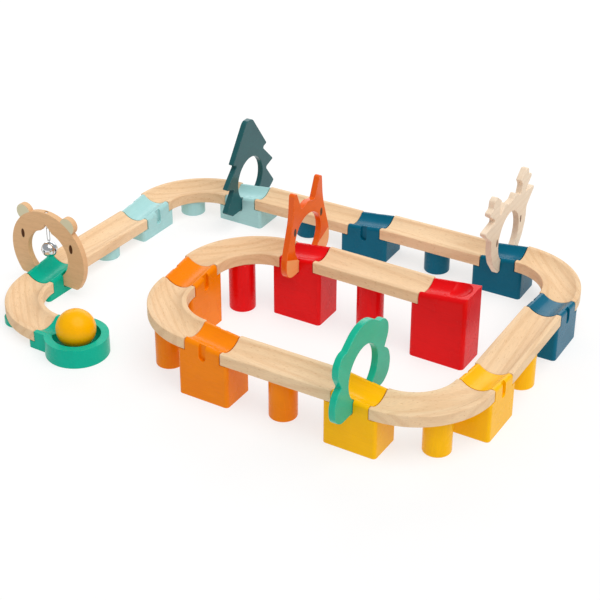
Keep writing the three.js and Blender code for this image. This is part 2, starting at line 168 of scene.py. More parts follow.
def makeRod(radius, fromZ, toZ, segments=96):
    bm = bmesh.new()
    bmesh.ops.create_cone(bm, cap_ends=True, segments=segments, radius1=radius, radius2=radius,
                          depth=toZ - fromZ)
    return moved(bm, 0, 0, (fromZ + toZ) / 2)


def makeLathe(moves, steps=96):
    # spins an outline's edges, drawn in (radius, up), once round the upright axis
    bm = drawOutline(moves)
    bmesh.ops.delete(bm, geom=bm.faces[:], context="FACES_ONLY")
    onAxis = [e for e in bm.edges if all(abs(v.co.x) < 1e-5 for v in e.verts)]
    bmesh.ops.delete(bm, geom=onAxis, context="EDGES")
    turned(bm, Matrix.Rotation(math.pi / 2, 4, "X"))
    bmesh.ops.spin(bm, geom=bm.verts[:] + bm.edges[:], cent=(0, 0, 0), axis=(0, 0, 1),
                   dvec=(0, 0, 0), angle=2 * math.pi, steps=steps, use_merge=True)
    bmesh.ops.remove_doubles(bm, verts=bm.verts[:], dist=1e-4)
    bmesh.ops.recalc_face_normals(bm, faces=bm.faces[:])
    return bm


def toObject(bm, name):
    mesh = bpy.data.meshes.new(name)
    bm.to_mesh(mesh)
    bm.free()
    obj = bpy.data.objects.new(name, mesh)
    bpy.context.scene.collection.objects.link(obj)
    return obj


def combine(bm, tool, operation="DIFFERENCE"):
    # cuts or joins two meshes, then clears away the tiny edges this leaves
    body = toObject(bm, "body")
    other = toObject(tool, "tool")
    modifier = body.modifiers.new("combine", "BOOLEAN")
    modifier.operation = operation
    modifier.solver = "EXACT"
    modifier.object = other
    result = bmesh.new()
    result.from_object(body, bpy.context.evaluated_depsgraph_get())
    for done in (body, other):
        mesh = done.data
        bpy.data.objects.remove(done)
        bpy.data.meshes.remove(mesh)
    bmesh.ops.remove_doubles(result, verts=result.verts[:], dist=1e-3)
    bmesh.ops.dissolve_limit(result, angle_limit=math.radians(0.4), verts=result.verts[:],
                             edges=result.edges[:])
    return result


def roundEdges(bm, offset, segments, sharpness=35, chosen=None):
    # rounds the outward edges that turn by more than sharpness degrees, and gives the new faces
    # the piece's second material, that of its edges
    limit = math.radians(sharpness)
    edges = [e for e in bm.edges if e.is_manifold and e.calc_face_angle_signed(0) > limit
             and (chosen is None or chosen(e))]
    made = bmesh.ops.bevel(bm, geom=edges, offset=offset, offset_type="OFFSET", segments=segments,
                           profile=0.5, affect="EDGES", clamp_overlap=True, material=-1)
    for face in made["faces"]:
        face.material_index = 1
    return bm


def finishPiece(bm, name, place, materials, body, nodes, grain=Matrix()):
    # keeps each point's place on the piece and in the tree it was sawn from, then sets the piece
    # in the run
    obj = toObject(bm, name)
    mesh = obj.data
    own = mesh.attributes.new("boardPlace", "FLOAT_VECTOR", "POINT")
    tree = mesh.attributes.new("treePlace", "FLOAT_VECTOR", "POINT")
    for index, vert in enumerate(mesh.vertices):
        own.data[index].vector = vert.co
        tree.data[index].vector = grain @ vert.co
    mesh.transform(place @ Matrix.Scale(millimetre, 4))
    for polygon in mesh.polygons:
        polygon.use_smooth = True
    mesh.set_sharp_from_angle(angle=math.radians(50))
    for material in materials:
        mesh.materials.append(material)
    weighted = obj.modifiers.new("weightedNormal", "WEIGHTED_NORMAL")
    weighted.keep_sharp = True
    weighted.weight = 80
    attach(obj, body)
    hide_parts(*nodes)
    return obj


# materials

paints = {
    "red": {"colour": "#e6090f", "deep": "#de060c"},
    "orange": {"colour": "#f58700", "deep": "#f08100"},
    "yellow": {"colour": "#febe00", "deep": "#fab800"},
    "blue": {"colour": "#006582", "deep": "#005f7a"},
    "lightBlue": {"colour": "#abd9d9", "deep": "#a4d3d3"},
    "green": {"colour": "#00b496", "deep": "#00ad90"},
    "ball": {"colour": "#fab600", "deep": "#f6af00"},
}


def grainCoordinates(tree, stretch):
    # the place in the tree in millimetres, X along the trunk, squeezed so that a pattern runs long
    own = addNode(tree, "Attribute", {"attribute_name": "treePlace"})
    inputs = {"Vector": own.outputs["Vector"], "Scale": stretch}
    return addNode(tree, "Mapping", {}, inputs).outputs["Vector"]


def noise(tree, along, across, detail, roughness=0.5):
    # a noise whose spots are so many millimetres long and wide
    place = grainCoordinates(tree, (1 / along, 1 / across, 1 / across))
    return addNode(tree, "TexNoise", {}, {"Vector": place, "Scale": 1.0, "Detail": detail,
                                          "Roughness": roughness}).outputs[0]


def ramp(tree, value, start, end, low=0.0, high=1.0, kind="LINEAR"):
    # low before start, high after end
    return addNode(tree, "MapRange", {"interpolation_type": kind},
                   {"Value": value, "From Min": start, "From Max": end,
                    "To Min": low, "To Max": high}).outputs[0]


def calculate(tree, operation, *values):
    return addNode(tree, "Math", {"operation": operation}, dict(enumerate(values))).outputs[0]


def blend(tree, share, colour, other):
    return addNode(tree, "Mix", {"data_type": "RGBA"}, {0: share, 6: colour, 7: other}).outputs[2]


def brighten(tree, colour, factor):
    return addNode(tree, "VectorMath", {"operation": "SCALE"},
                   {0: colour, "Scale": factor}).outputs[0]


def distance(tree, across, up):
    place = addNode(tree, "CombineXYZ", {}, {0: across, 1: up}).outputs[0]
    return addNode(tree, "VectorMath", {"operation": "LENGTH"}, {0: place}).outputs["Value"]


def relief(tree, strength, depth, height, under=None):
    # a bump of so many metres, over another one if there is one
    inputs = {"Strength": strength, "Distance": depth, "Height": height}
    if under is not None:
        inputs["Normal"] = under
    return addNode(tree, "Bump", {}, inputs).outputs[0]


def newMaterial(name):
    material = bpy.data.materials.new(name)
    material.use_nodes = True
    tree = material.node_tree
    shader = tree.nodes["Principled BSDF"]
    return material, tree, shader


def connect(tree, shader, sockets):
    for name, value in sockets.items():
        tree.links.new(value, shader.inputs[name])


# how softly painted shapes end, and how far inside the plate's rim they stop, in millimetres;
# an ellipse's softness is a share of its size
brush = {"ellipse": 0.06, "circle": 0.15, "line": 0.2, "rimFrom": 0.2, "rimTo": 0.05}


def colourRegions(tree, colour, regions, plate):
    # lays painted shapes over a plate's two faces; each is an ellipse, a band below a line, or
    # what lies outside a circle, mirrored about the middle
    own = addNode(tree, "Attribute", {"attribute_name": "boardPlace"})
    parts = addNode(tree, "SeparateXYZ", {}, {0: own.outputs["Vector"]})
    along = calculate(tree, "ABSOLUTE", parts.outputs["X"])
    across = calculate(tree, "ABSOLUTE", parts.outputs["Y"])
    up = parts.outputs["Z"]
    onFace = ramp(tree, along, plate / 2 - brush["rimFrom"], plate / 2 - brush["rimTo"])
    for region in regions:
        if region["shape"] == "ellipse":
            (atAcross, atUp), (wide, tall) = region["at"], region["size"]
            u = calculate(tree, "DIVIDE", calculate(tree, "SUBTRACT", across, atAcross), wide)
            v = calculate(tree, "DIVIDE", calculate(tree, "SUBTRACT", up, atUp), tall)
            mask = ramp(tree, distance(tree, u, v), 1 + brush["ellipse"], 1 - brush["ellipse"])
        elif region["shape"] == "outside":
            v = calculate(tree, "SUBTRACT", up, region["centre"])
            mask = ramp(tree, distance(tree, across, v), region["radius"] - brush["circle"],
                        region["radius"] + brush["circle"])
        else:
            (u0, v0), (u1, v1) = region["from"], region["to"]
            lean = (v1 - v0) / (u1 - u0)
            line = calculate(tree, "MULTIPLY_ADD", across, lean, v0 - lean * u0)
            mask = ramp(tree, calculate(tree, "SUBTRACT", line, up), -brush["line"], brush["line"])
        mask = calculate(tree, "MULTIPLY", mask, onFace)
        colour = blend(tree, mask, colour, toLinear(region["colour"]))
    return colour


lacquer = {"ior": 1.48, "roughness": 0.26, "shine": 0.14, "rubbed": 0.08, "bare": "#fff4e2",
           "grainBump": (0.18, 0.00012), "peelBump": (0.14, 0.00006)}


def paintedBeech(name, look, worn=False, roughness=lacquer["roughness"], shine=lacquer["shine"],
                 regions=None, plate=0):
    # satin acrylic lacquer sprayed on sanded beech: an even colour, a broad soft sheen, the faint
    # lines of the grain underneath and, on edges, small rubbed spots
    material, tree, shader = newMaterial(name)
    cloud = noise(tree, 26, 26, 3.0, 0.55)
    grain = noise(tree, 30, 1.3, 2.0, 0.6)
    peel = noise(tree, 0.9, 0.9, 1.0)
    shade = ramp(tree, cloud, 0.35, 0.7)
    body = blend(tree, shade, toLinear(look["colour"]), toLinear(look["deep"]))
    if regions:
        body = colourRegions(tree, body, regions, plate)
    body = brighten(tree, body, ramp(tree, grain, 0.3, 0.72, 0.96, 1.03))
    if worn:
        spot = noise(tree, 3, 2, 4.0, 0.65)
        rubbed = ramp(tree, spot, 0.5, 0.75, 0.0, lacquer["rubbed"])
        body = blend(tree, rubbed, body, toLinear(lacquer["bare"]))
    gloss = ramp(tree, cloud, 0.3, 0.7, roughness - 0.03, roughness + 0.05)
    lines = relief(tree, *lacquer["grainBump"], grain)
    skin = relief(tree, *lacquer["peelBump"], peel, lines)
    connect(tree, shader, {"Base Color": body, "Roughness": gloss, "Normal": skin})
    shader.inputs["IOR"].default_value = lacquer["ior"]
    shader.inputs["Specular IOR Level"].default_value = shine
    return material


# a wave's rings lie 1 mm apart at this scale; squash lets them arch far along a board
timber = {"ior": 1.45, "shine": 0.12, "bump": (0.3, 0.00012), "ringScale": 0.314,
          "ringSquash": 0.12}


def bareBeech(name, look, regions=None, plate=0):
    # oiled steamed beech: pale straw to pink-tan, growth lines that arch along the board, and the
    # short dark flecks of its rays
    material, tree, shader = newMaterial(name)
    rings = addNode(tree, "TexWave", {"wave_type": "RINGS", "rings_direction": "X"},
                    {"Vector": grainCoordinates(tree, (timber["ringSquash"], 1, 1)),
                     "Scale": timber["ringScale"] / look["ringSpacing"],
                     "Distortion": look["wander"], "Detail": 2.0, "Detail Scale": 0.9,
                     "Detail Roughness": 0.5}).outputs[0]
    plank = noise(tree, 420, 60, 1.0)
    broad = noise(tree, 60, 8, 2.0)
    fibre = noise(tree, 14, 0.8, 3.0, 0.6)
    # rays are drawn a little coarser than they are, so that they show
    ray = noise(tree, 4.5, 1.1, 1.0)
    drift = calculate(tree, "MULTIPLY_ADD", plank, 1.4, -0.45)
    tone = addNode(tree, "Math", {"operation": "MULTIPLY_ADD", "use_clamp": True},
                   {0: broad, 1: 0.6, 2: drift}).outputs[0]
    body = blend(tree, tone, toLinear(look["pale"]), toLinear(look["warm"]))
    line = ramp(tree, rings, 0.45, 1.0, 0.0, look["strength"], "SMOOTHSTEP")
    body = blend(tree, line, body, toLinear(look["line"]))
    body = brighten(tree, body, ramp(tree, fibre, 0.3, 0.7, 0.93, 1.05))
    fleck = ramp(tree, ray, 0.64, 0.74, 0.0, look["flecks"])
    body = blend(tree, fleck, body, toLinear(look["line"]))
    if regions:
        body = colourRegions(tree, body, regions, plate)
    gloss = ramp(tree, fibre, 0.3, 0.7, 0.5, 0.62)
    skin = relief(tree, *timber["bump"], fibre)
    connect(tree, shader, {"Base Color": body, "Roughness": gloss, "Normal": skin})
    shader.inputs["IOR"].default_value = timber["ior"]
    shader.inputs["Specular IOR Level"].default_value = timber["shine"]
    return material


def polishedSteel(name, colour, roughness):
    # nickel-plated steel, tumbled bright: mirrors its surroundings, with soft handling smudges
    material, tree, shader = newMaterial(name)
    smudge = noise(tree, 3, 3, 3.0)
    connect(tree, shader, {"Roughness": ramp(tree, smudge, 0.3, 0.7, roughness, roughness + 0.08)})
    shader.inputs["Base Color"].default_value = toLinear(colour)
    shader.inputs["Metallic"].default_value = 1.0
    return material


# each paint as lacquer for the faces and its rubbed twin for the rounded edges
paintOf = {key: [paintedBeech(key + "Lacquer", look),
                 paintedBeech(key + "LacquerEdge", look, worn=True)]
           for key, look in paints.items()}

trackWood = {
    "pale": "#f1d5b0", "warm": "#e6c196", "line": "#c08a55", "strength": 0.17, "flecks": 0.45,
    "ringSpacing": 8.5, "wander": 4.5,
}
beech = bareBeech("oiledBeech", trackWood)
steel = polishedSteel("nickelPlatedSteel", "#d9dcde", 0.08)
wire = polishedSteel("brightSteelWire", "#a9adb0", 0.2)
print("materials made")

# tracks

trackCut = {"steps": 30, "turnSteps": 56, "lipGap": 0.1,
            "end": {"offset": 0.7, "segments": 3, "sharpness": 60}}


def trackSection():
    # the section that all tracks share, drawn in (across, up) with the rim at 0; the round of the
    # channel stops just before its lips
    lean = math.atan2(channelUp, channelHalf)
    lean += (lipReach + trackCut["lipGap"]) / run["channelRadius"]
    reach = run["channelRadius"]
    edge = run["edgeRadius"]
    depth = -run["trackThickness"]
    return drawOutline([
        ("to", -reach * math.cos(lean), channelUp - reach * math.sin(lean), 0),
        ("arc", 0, channelUp, 180 - 2 * math.degrees(lean), trackCut["steps"]),
        ("to", channelHalf, 0, run["lipRadius"]),
        ("to", half, 0, edge),
        ("to", half, depth, edge),
        ("to", -half, depth, edge),
        ("to", -half, 0, edge),
        ("to", -channelHalf, 0, run["lipRadius"]),
    ])


def straightTrack():
    bm = turned(giveDepth(trackSection(), run["straightLength"]), alongRun)
    moved(bm, -run["straightLength"] / 2, 0, 0)
    return roundEdges(bm, **trackCut["end"])


def curvedTrack():
    # a quarter turn to the left that starts at the origin, heading along X
    bm = turned(trackSection(), alongRun)
    bmesh.ops.spin(bm, geom=bm.faces[:], cent=(0, run["curveRadius"], 0), axis=(0, 0, 1),
                   dvec=(0, 0, 0), angle=math.pi / 2, steps=trackCut["turnSteps"],
                   use_merge=False)
    ends = [e for e in bm.edges if len(e.link_faces) == 1]
    if ends:
        bmesh.ops.holes_fill(bm, edges=ends)
    bmesh.ops.recalc_face_normals(bm, faces=bm.faces[:])
    return roundEdges(bm, **trackCut["end"])


# blocks

block = {
    "corner": 4.0, "cornerSegments": 6, "cornerRise": 5.0,
    "slotWidth": 8.2, "slotInset": 3.4, "slotDrop": 18.6,
    "edge": {"offset": 0.75, "segments": 4},
    "lipEdge": {"offset": lipReach, "segments": 6, "sharpness": 20},
    "slotEdge": {"offset": 0.3, "segments": 2, "sharpness": 40},
}
blockEnd = run["blockLength"] / 2
# cutters reach this far past a block, and a point this near to a line counts as on it
clear = 1.0
near = 0.05


def blockBody(fromX, toX, rim, tilt, corner=block["corner"]):
    # a block before its cuts; its top falls along the run
    bm = makeBox((fromX, -half, 0), (toX, half, 1))
    for vert in bm.verts:
        if vert.co.z > 0:
            vert.co.z = rim - tilt * vert.co.x
    # the corners, and on a block with a falling top also the long edges of that top
    steep = [e for e in bm.edges
             if abs(e.verts[0].co.z - e.verts[1].co.z) > block["cornerRise"]]
    bmesh.ops.bevel(bm, geom=steep, offset=corner, offset_type="OFFSET",
                    segments=block["cornerSegments"], profile=0.5, affect="EDGES", material=-1)
    return bm


def channelTool(fromX, toX, rim, tilt):
    # the round space above a channel's floor
    bm = bmesh.new()
    bmesh.ops.create_cone(bm, cap_ends=True, segments=128, radius1=run["channelRadius"],
                          radius2=run["channelRadius"], depth=toX - fromX)
    turned(bm, Matrix.Rotation(math.pi / 2, 4, "Y"))
    moved(bm, (fromX + toX) / 2, 0, 0)
    for vert in bm.verts:
        vert.co.z += rim + channelUp - tilt * vert.co.x
    return bm


def roundLips(bm, rim, tilt):
    # rounds the two long edges where a channel meets the flat rim
    def onLip(edge):
        return all(abs(abs(vert.co.y) - channelHalf) < near
                   and abs(vert.co.z - rim + tilt * vert.co.x) < near for vert in edge.verts)
    return roundEdges(bm, **block["lipEdge"], chosen=onLip)


def ledgeTool(side, trackTop):
    # the space over one end of a block, where a track lies
    wide, tall = 40, 60
    low = trackTop - run["trackThickness"] - run["touchGap"]
    ends = sorted((side * run["shoulderLength"] / 2, side * (blockEnd + clear)))
    return makeBox((ends[0], -wide, low), (ends[1], wide, low + tall))


def slotTool(side, rim):
    # the space of the upright slot in one side, with a round bottom
    radius = block["slotWidth"] / 2
    bottom = rim - block["slotDrop"] + radius
    above, outside = rim + 12, 10
    bm = drawOutline([
        ("to", -radius, above, 0),
        ("to", -radius, bottom, 0),
        ("arc", 0, bottom, 180, 24),
        ("to", radius, above, 0),
    ])
    giveDepth(bm, block["slotInset"] + outside)
    turned(bm, Matrix.Rotation(math.pi / 2, 4, "X"))
    return moved(bm, 0, half + outside if side > 0 else block["slotInset"] - half, 0)


def middleBlock(lowerTop):
    rim = lowerTop + run["step"] / 2
    bm = blockBody(-blockEnd, blockEnd, rim, slope)
    bm = combine(bm, channelTool(-blockEnd - clear, blockEnd + clear, rim, slope))
    bm = combine(bm, ledgeTool(-1, lowerTop + run["step"]))
    bm = combine(bm, ledgeTool(1, lowerTop))
    roundLips(bm, rim, slope)
    roundEdges(bm, **block["edge"])
    for side in (-1, 1):
        bm = combine(bm, slotTool(side, rim))
    # only the edges round the slots' mouths, not those round their floors
    offFloor = half - block["slotInset"] + 0.2
    lowest = rim - block["slotDrop"] - 0.1

    def onSlotMouth(edge):
        middle = (edge.verts[0].co + edge.verts[1].co) / 2
        return (abs(middle.x) < block["slotWidth"] / 2 + near and abs(middle.y) > offFloor
                and middle.z > lowest)
    return roundEdges(bm, **block["slotEdge"], chosen=onSlotMouth)


startPiece = {"tail": 35.6, "pocketAt": -11.9, "pocketDepth": 8.4, "corner": 5.0,
              "edge": {"offset": 1.6, "segments": 4, "sharpness": 30}}


def startBlock(lowerTop):
    rim = lowerTop + run["step"] / 2
    pocketAt = startPiece["pocketAt"]
    bm = blockBody(-startPiece["tail"], blockEnd, rim, slope, startPiece["corner"])
    bm = combine(bm, channelTool(pocketAt, blockEnd + clear, rim, slope))
    pocket = bmesh.new()
    bmesh.ops.create_uvsphere(pocket, u_segments=128, v_segments=96, radius=run["channelRadius"])
    pocketFloor = rim - slope * pocketAt - startPiece["pocketDepth"]
    bm = combine(bm, moved(pocket, pocketAt, 0, pocketFloor + run["channelRadius"]))
    bm = combine(bm, ledgeTool(1, lowerTop))
    return roundEdges(bm, **startPiece["edge"])


bowl = {"radius": 36.2, "inside": 27.2, "floor": 7.0, "floorRound": 13, "at": 21.5, "overlap": 3,
        "steps": 128, "edge": {"offset": 1.5, "segments": 4, "sharpness": 30}}


def bowlBlock(rim):
    # the end of a block run into a round bowl
    bm = blockBody(-blockEnd, bowl["at"] + bowl["overlap"], rim, 0)
    drum = makeRod(bowl["radius"], 0, rim, bowl["steps"])
    bm = combine(bm, moved(drum, bowl["at"], 0, 0), "UNION")
    above = rim + 8
    hollow = makeLathe([
        ("to", 0, bowl["floor"], 0),
        ("to", bowl["inside"], bowl["floor"], bowl["floorRound"]),
        ("to", bowl["inside"], above, 0),
        ("to", 0, above, 0),
    ], bowl["steps"])
    bm = combine(bm, moved(hollow, bowl["at"], 0, 0))
    bm = combine(bm, channelTool(-blockEnd - clear, bowl["at"], rim, 0))
    bm = combine(bm, ledgeTool(-1, rim))
    return roundEdges(bm, **bowl["edge"])


# arches, drawn as a right half up from the rim of their block

arch = {"thickness": 7.4, "footDrop": 15.6, "footRound": 1.4, "roughness": 0.16,
        "edgeRoughness": 0.25, "shine": 0.3,
        "edge": {"offset": 0.7, "segments": 3, "sharpness": 60}}
foot = -arch["footDrop"]
legInside = half - block["slotInset"] + run["touchGap"]

foxArch = {
    "opening": (29.0, 20.3),
    "corners": [(0, 65.2, 0), (14.6, 61.8, 2.5), (25, 85.4, 3), (30.6, 85.4, 3), (33, 56, 80),
                (48.2, 9, 25), (48.6, foot, 15)],
    "look": {"colour": "#f0650f", "deep": "#e95e0b"},
    "regions": [
        {"shape": "below", "from": (46, 11), "to": (24, 2), "colour": "#f9ae6c"},
        {"shape": "ellipse", "at": (29.3, 38.8), "size": (2.8, 5), "colour": "#4e2a12"},
    ],
}
treeArch = {
    "opening": (29.9, 22.3),
    "corners": [(0, 78.8, 0), (13, 78.8, 34), (33.8, 64.4, 1.2), (43, 63.6, 12), (51.6, 54, 12),
                (52, 42, 14), (44.2, 27.8, 1.2), (53.5, 21.5, 15), (58.2, 7, 22), (55.5, -8, 14),
                (44, foot, 14)],
    "look": {"colour": "#12b795", "deep": "#10b08e"},
    "regions": [],
}
firArch = {
    "opening": (28.9, 19.5),
    "corners": [(0, 99.5, 0), (7, 99.5, 8), (40.2, 53.2, 1.6), (30.2, 50.4, 2.5), (55.2, 25.2, 1.6),
                (37.2, 19.6, 2.5), (57, -6.5, 2.5), (43, foot, 4)],
    "look": {"colour": "#215c60", "deep": "#1d555a"},
    "regions": [],
}
reindeerArch = {
    "opening": (30.0, 22.0),
    "corners": [(0, 66, 0), (8, 66, 3), (14, 71.5, 2.5), (30, 62, 2), (34, 74, 5),
                (28.2, 80.8, 1.6), (42.5, 91.5, 4), (50, 89, 4), (52, 79.6, 2.5),
                (60.6, 77.8, 2), (60, 73.4, 2),
                (46, 64, 2.5), (45.6, 60, 2), (71.4, 57, 1.8), (70.6, 53, 1.8), (51.8, 38.2, 5),
                (51.4, 22, 25), (44.6, 5, 25), (27, foot, 3)],
    "wood": {"pale": "#f5e3cc", "warm": "#ecd6bc", "line": "#cda679", "strength": 0.1,
             "flecks": 0.2, "ringSpacing": 8.0, "wander": 4.0},
    "regions": [
        {"shape": "ellipse", "at": (35, 28.3), "size": (1.9, 5), "colour": "#6b4630"},
    ],
}
bearArch = {
    "opening": (30.4, 20.0),
    "head": (55.0, 19.6),
    "ear": (10.4, 33.2, 66.3),
    "peak": 59.5,
    "peakHalf": 8.6,
    "footRound": 4.0,
    "footCorner": (0.5, 5),
    "wood": {"pale": "#e6bd90", "warm": "#e0b385", "line": "#b98a5a", "strength": 0.06,
             "flecks": 0.2, "ringSpacing": 9.0, "wander": 4.0},
    "regions": [
        {"shape": "outside", "centre": 19.6, "radius": 55.0, "colour": "#d9d2b2"},
        {"shape": "ellipse", "at": (36.7, 37.7), "size": (2.6, 6), "colour": "#4f2c12"},
    ],
}


def halfOpening(radius, centre, peak=None):
    # the inside edge, up the leg and round the opening; a peak is (its height, half its width)
    springUp = centre - math.sqrt(radius ** 2 - legInside ** 2)
    spring = math.degrees(math.atan2(springUp - centre, legInside))
    moves = [("to", legInside, foot, arch["footRound"]), ("to", legInside, springUp, 0)]
    if peak:
        notch = math.degrees(math.acos(peak[1] / radius))
        return moves + [("arc", 0, centre, notch - spring, 40), ("to", 0, peak[0], 0)]
    return moves + [("arc", 0, centre, 90 - spring, 40)]


def sideAngle(a, b, opposite):
    # the angle between a triangle's sides a and b, in degrees
    return math.degrees(math.acos((a ** 2 + b ** 2 - opposite ** 2) / (2 * a * b)))


def bearOutside():
    # round the head, out round the ear and back, and down to the foot
    radius, centre = bearArch["head"]
    earRadius, earAcross, earUp = bearArch["ear"]
    up = earUp - centre
    apart = math.hypot(earAcross, up)
    towards = math.degrees(math.atan2(up, earAcross))
    onHead = sideAngle(radius, apart, earRadius)
    onEar = sideAngle(earRadius, apart, radius)
    sole = math.degrees(math.asin((foot + bearArch["footRound"] - centre) / radius))
    soleHalf = math.sqrt(radius ** 2 - (foot - centre) ** 2)
    footOut, footCorner = bearArch["footCorner"]
    return [
        ("to", 0, centre + radius, 0),
        ("arc", 0, centre, -(90 - towards - onHead), 16),
        ("arc", earAcross, earUp, -(360 - 2 * onEar), 40),
        ("arc", 0, centre, -(towards - onHead - sole), 50),
        ("to", soleHalf + footOut, foot, footCorner),
    ]


def archPlate(outside, opening):
    # mirrors the drawn half and gives it the plate's thickness
    bm = drawOutline(outside + opening)
    geom = bm.verts[:] + bm.edges[:] + bm.faces[:]
    bmesh.ops.mirror(bm, geom=geom, axis="X", merge_dist=0.01)
    middle = [e for e in bm.edges if all(abs(v.co.x) < 1e-3 for v in e.verts)]
    bmesh.ops.dissolve_edges(bm, edges=middle)
    bmesh.ops.recalc_face_normals(bm, faces=bm.faces[:])
    giveDepth(bm, arch["thickness"])
    turned(bm, alongRun)
    moved(bm, -arch["thickness"] / 2, 0, 0)
    return bm


def onPlateRim(edge):
    return abs(edge.verts[0].co.x - edge.verts[1].co.x) < 1e-4


def archSolid(kind):
    spec = archSpecs[kind]
    if kind == "bear":
        opening = halfOpening(*spec["opening"], (spec["peak"], spec["peakHalf"]))
        bm = archPlate(bearOutside(), opening)
    else:
        outside = [("to", *corner) for corner in spec["corners"]]
        bm = archPlate(outside, halfOpening(*spec["opening"]))
    roundEdges(bm, **arch["edge"], chosen=onPlateRim)
    if kind == "bear":
        # the bell's pin goes through the crown, with its head sunk
        above = bearCrown + 2
        bm = combine(bm, makeRod(bellParts["pinHole"], spec["opening"][1], above, 32))
        sink = bearCrown - bellParts["pinSunk"] - bellParts["pinHead"][1] - run["touchGap"]
        bm = combine(bm, makeRod(bellParts["pinHeadHole"], sink, above, 40))
    return bm


archSpecs = {"fox": foxArch, "tree": treeArch, "fir": firArch, "reindeer": reindeerArch,
             "bear": bearArch}
bearCrown = bearArch["head"][0] + bearArch["head"][1]


def archMaterials(kind):
    spec = archSpecs[kind]
    if "wood" in spec:
        one = bareBeech(kind + "Beech", spec["wood"], spec["regions"], arch["thickness"])
        return [one, one]
    # the arches are glossier than the blocks, with less shine on their edges
    face = paintedBeech(kind + "Lacquer", spec["look"], roughness=arch["roughness"],
                        shine=arch["shine"], regions=spec["regions"], plate=arch["thickness"])
    edge = paintedBeech(kind + "LacquerEdge", spec["look"], worn=True,
                        roughness=arch["edgeRoughness"], shine=arch["shine"])
    return [face, edge]


# the bell, with heights up from the rim of the bear's block

bellParts = {
    "pinRadius": 1.0, "pinHole": 1.3, "pinHead": (2.0, 1.2), "pinHeadHole": 2.4, "pinSunk": 1.0,
    "pinOverlap": 0.2, "pinEdge": {"offset": 0.35, "segments": 4, "sharpness": 40},
    "eye": (1.9, 0.55, 55.2), "loop": (18.9, 2.1, 0.45), "shell": (9.6, 0.9),
    "slit": 1.2, "slitFlare": 2.0, "slitHole": 1.3, "slitTop": 1.2,
    "shank": (1.6, 0.5, 0.6), "pea": 2.6, "bead": 0.35, "beadSunk": 0.1,
}
eyeRadius, eyeWire, eyeUp = bellParts["eye"]
loopLength, loopBend, loopWire = bellParts["loop"]
shankRadius, shankWire, shankSunk = bellParts["shank"]
shellRadius, shellWall = bellParts["shell"]
loopTop = eyeUp - (eyeRadius - eyeWire) + loopWire + run["touchGap"]
loopBottom = loopTop - loopLength + 2 * loopWire
shankUp = loopBottom + loopWire + run["touchGap"] - (shankRadius - shankWire)
bellUp = shankUp - shankRadius + shankSunk - shellRadius


def wireRing(radius, wire, up, steps=48):
    # a ring of wire that stands upright, with its hole facing across the run
    bm = bmesh.new()
    bmesh.ops.create_circle(bm, cap_ends=False, segments=20, radius=wire)
    moved(turned(bm, Matrix.Rotation(math.pi / 2, 4, "X")), radius, 0, 0)
    turned(bm, Matrix.Rotation(math.pi / 2, 4, "X"))
    bmesh.ops.spin(bm, geom=bm.verts[:] + bm.edges[:], cent=(0, 0, 0), axis=(0, 1, 0),
                   dvec=(0, 0, 0), angle=2 * math.pi, steps=steps, use_merge=True)
    bmesh.ops.remove_doubles(bm, verts=bm.verts[:], dist=1e-4)
    bmesh.ops.recalc_face_normals(bm, faces=bm.faces[:])
    return moved(bm, 0, 0, up)


def eyePin():
    # a pin through the crown, with a ring of wire on its lower end
    headTop = bearCrown - bellParts["pinSunk"]
    headRadius, headThick = bellParts["pinHead"]
    head = makeRod(headRadius, headTop - headThick, headTop, 48)
    roundEdges(head, **bellParts["pinEdge"])
    shaft = makeRod(bellParts["pinRadius"], eyeUp + eyeRadius - bellParts["pinOverlap"],
                    headTop - headThick / 2, 32)
    bm = combine(shaft, head, "UNION")
    return combine(bm, wireRing(eyeRadius, eyeWire, eyeUp), "UNION")


def bellLoop():
    # one wire bent to a long link, its ends butted on one side
    bm = bmesh.new()
    bmesh.ops.create_circle(bm, cap_ends=False, segments=20, radius=loopWire)
    moved(bm, 0, loopBend, 0)
    ring = bm.verts[:] + bm.edges[:]
    upper, lower = loopTop - loopBend, loopBottom + loopBend
    moved(bm, 0, 0, upper)
    for bend, nextBend in ((upper, lower), (lower, upper)):
        spun = bmesh.ops.spin(bm, geom=ring, cent=(0, 0, bend), axis=(1, 0, 0), dvec=(0, 0, 0),
                              angle=math.pi, steps=28, use_merge=False)
        pulled = bmesh.ops.extrude_edge_only(bm, edges=edgesIn(spun["geom_last"]))["geom"]
        bmesh.ops.translate(bm, verts=vertsIn(pulled), vec=(0, 0, nextBend - bend))
        ring = vertsIn(pulled) + edgesIn(pulled)
    bmesh.ops.remove_doubles(bm, verts=bm.verts[:], dist=1e-3)
    bmesh.ops.recalc_face_normals(bm, faces=bm.faces[:])
    return bm


def solidSphere(radius):
    bm = bmesh.new()
    bmesh.ops.create_uvsphere(bm, u_segments=72, v_segments=48, radius=radius)
    return bm


def bellShell():
    # two pressed halves that meet in a thin bead, with crossed slits below that end in round holes
    out = shellRadius + clear
    bm = combine(solidSphere(shellRadius), solidSphere(shellRadius - shellWall))
    seam = wireRing(shellRadius - bellParts["beadSunk"], bellParts["bead"], 0, 96)
    bm = combine(bm, turned(seam, Matrix.Rotation(math.pi / 2, 4, "X")), "UNION")
    slitTop, slitHalf = bellParts["slitTop"], bellParts["slit"] / 2
    for turn in (0, math.pi / 2):
        spinSlit = Matrix.Rotation(turn, 4, "Z")
        cut = makeBox((-out, -slitHalf, -out), (out, slitHalf, slitTop))
        for vert in cut.verts:
            if vert.co.z < -shellRadius:
                vert.co.y *= bellParts["slitFlare"]
        bm = combine(bm, turned(cut, spinSlit))
        hole = makeRod(bellParts["slitHole"], -out, out, 40)
        turned(hole, Matrix.Rotation(math.pi / 2, 4, "Y"))
        bm = combine(bm, turned(moved(hole, 0, 0, slitTop), spinSlit))
    bm = combine(bm, wireRing(shankRadius, shankWire, shankUp - bellUp), "UNION")
    return moved(bm, 0, 0, bellUp)


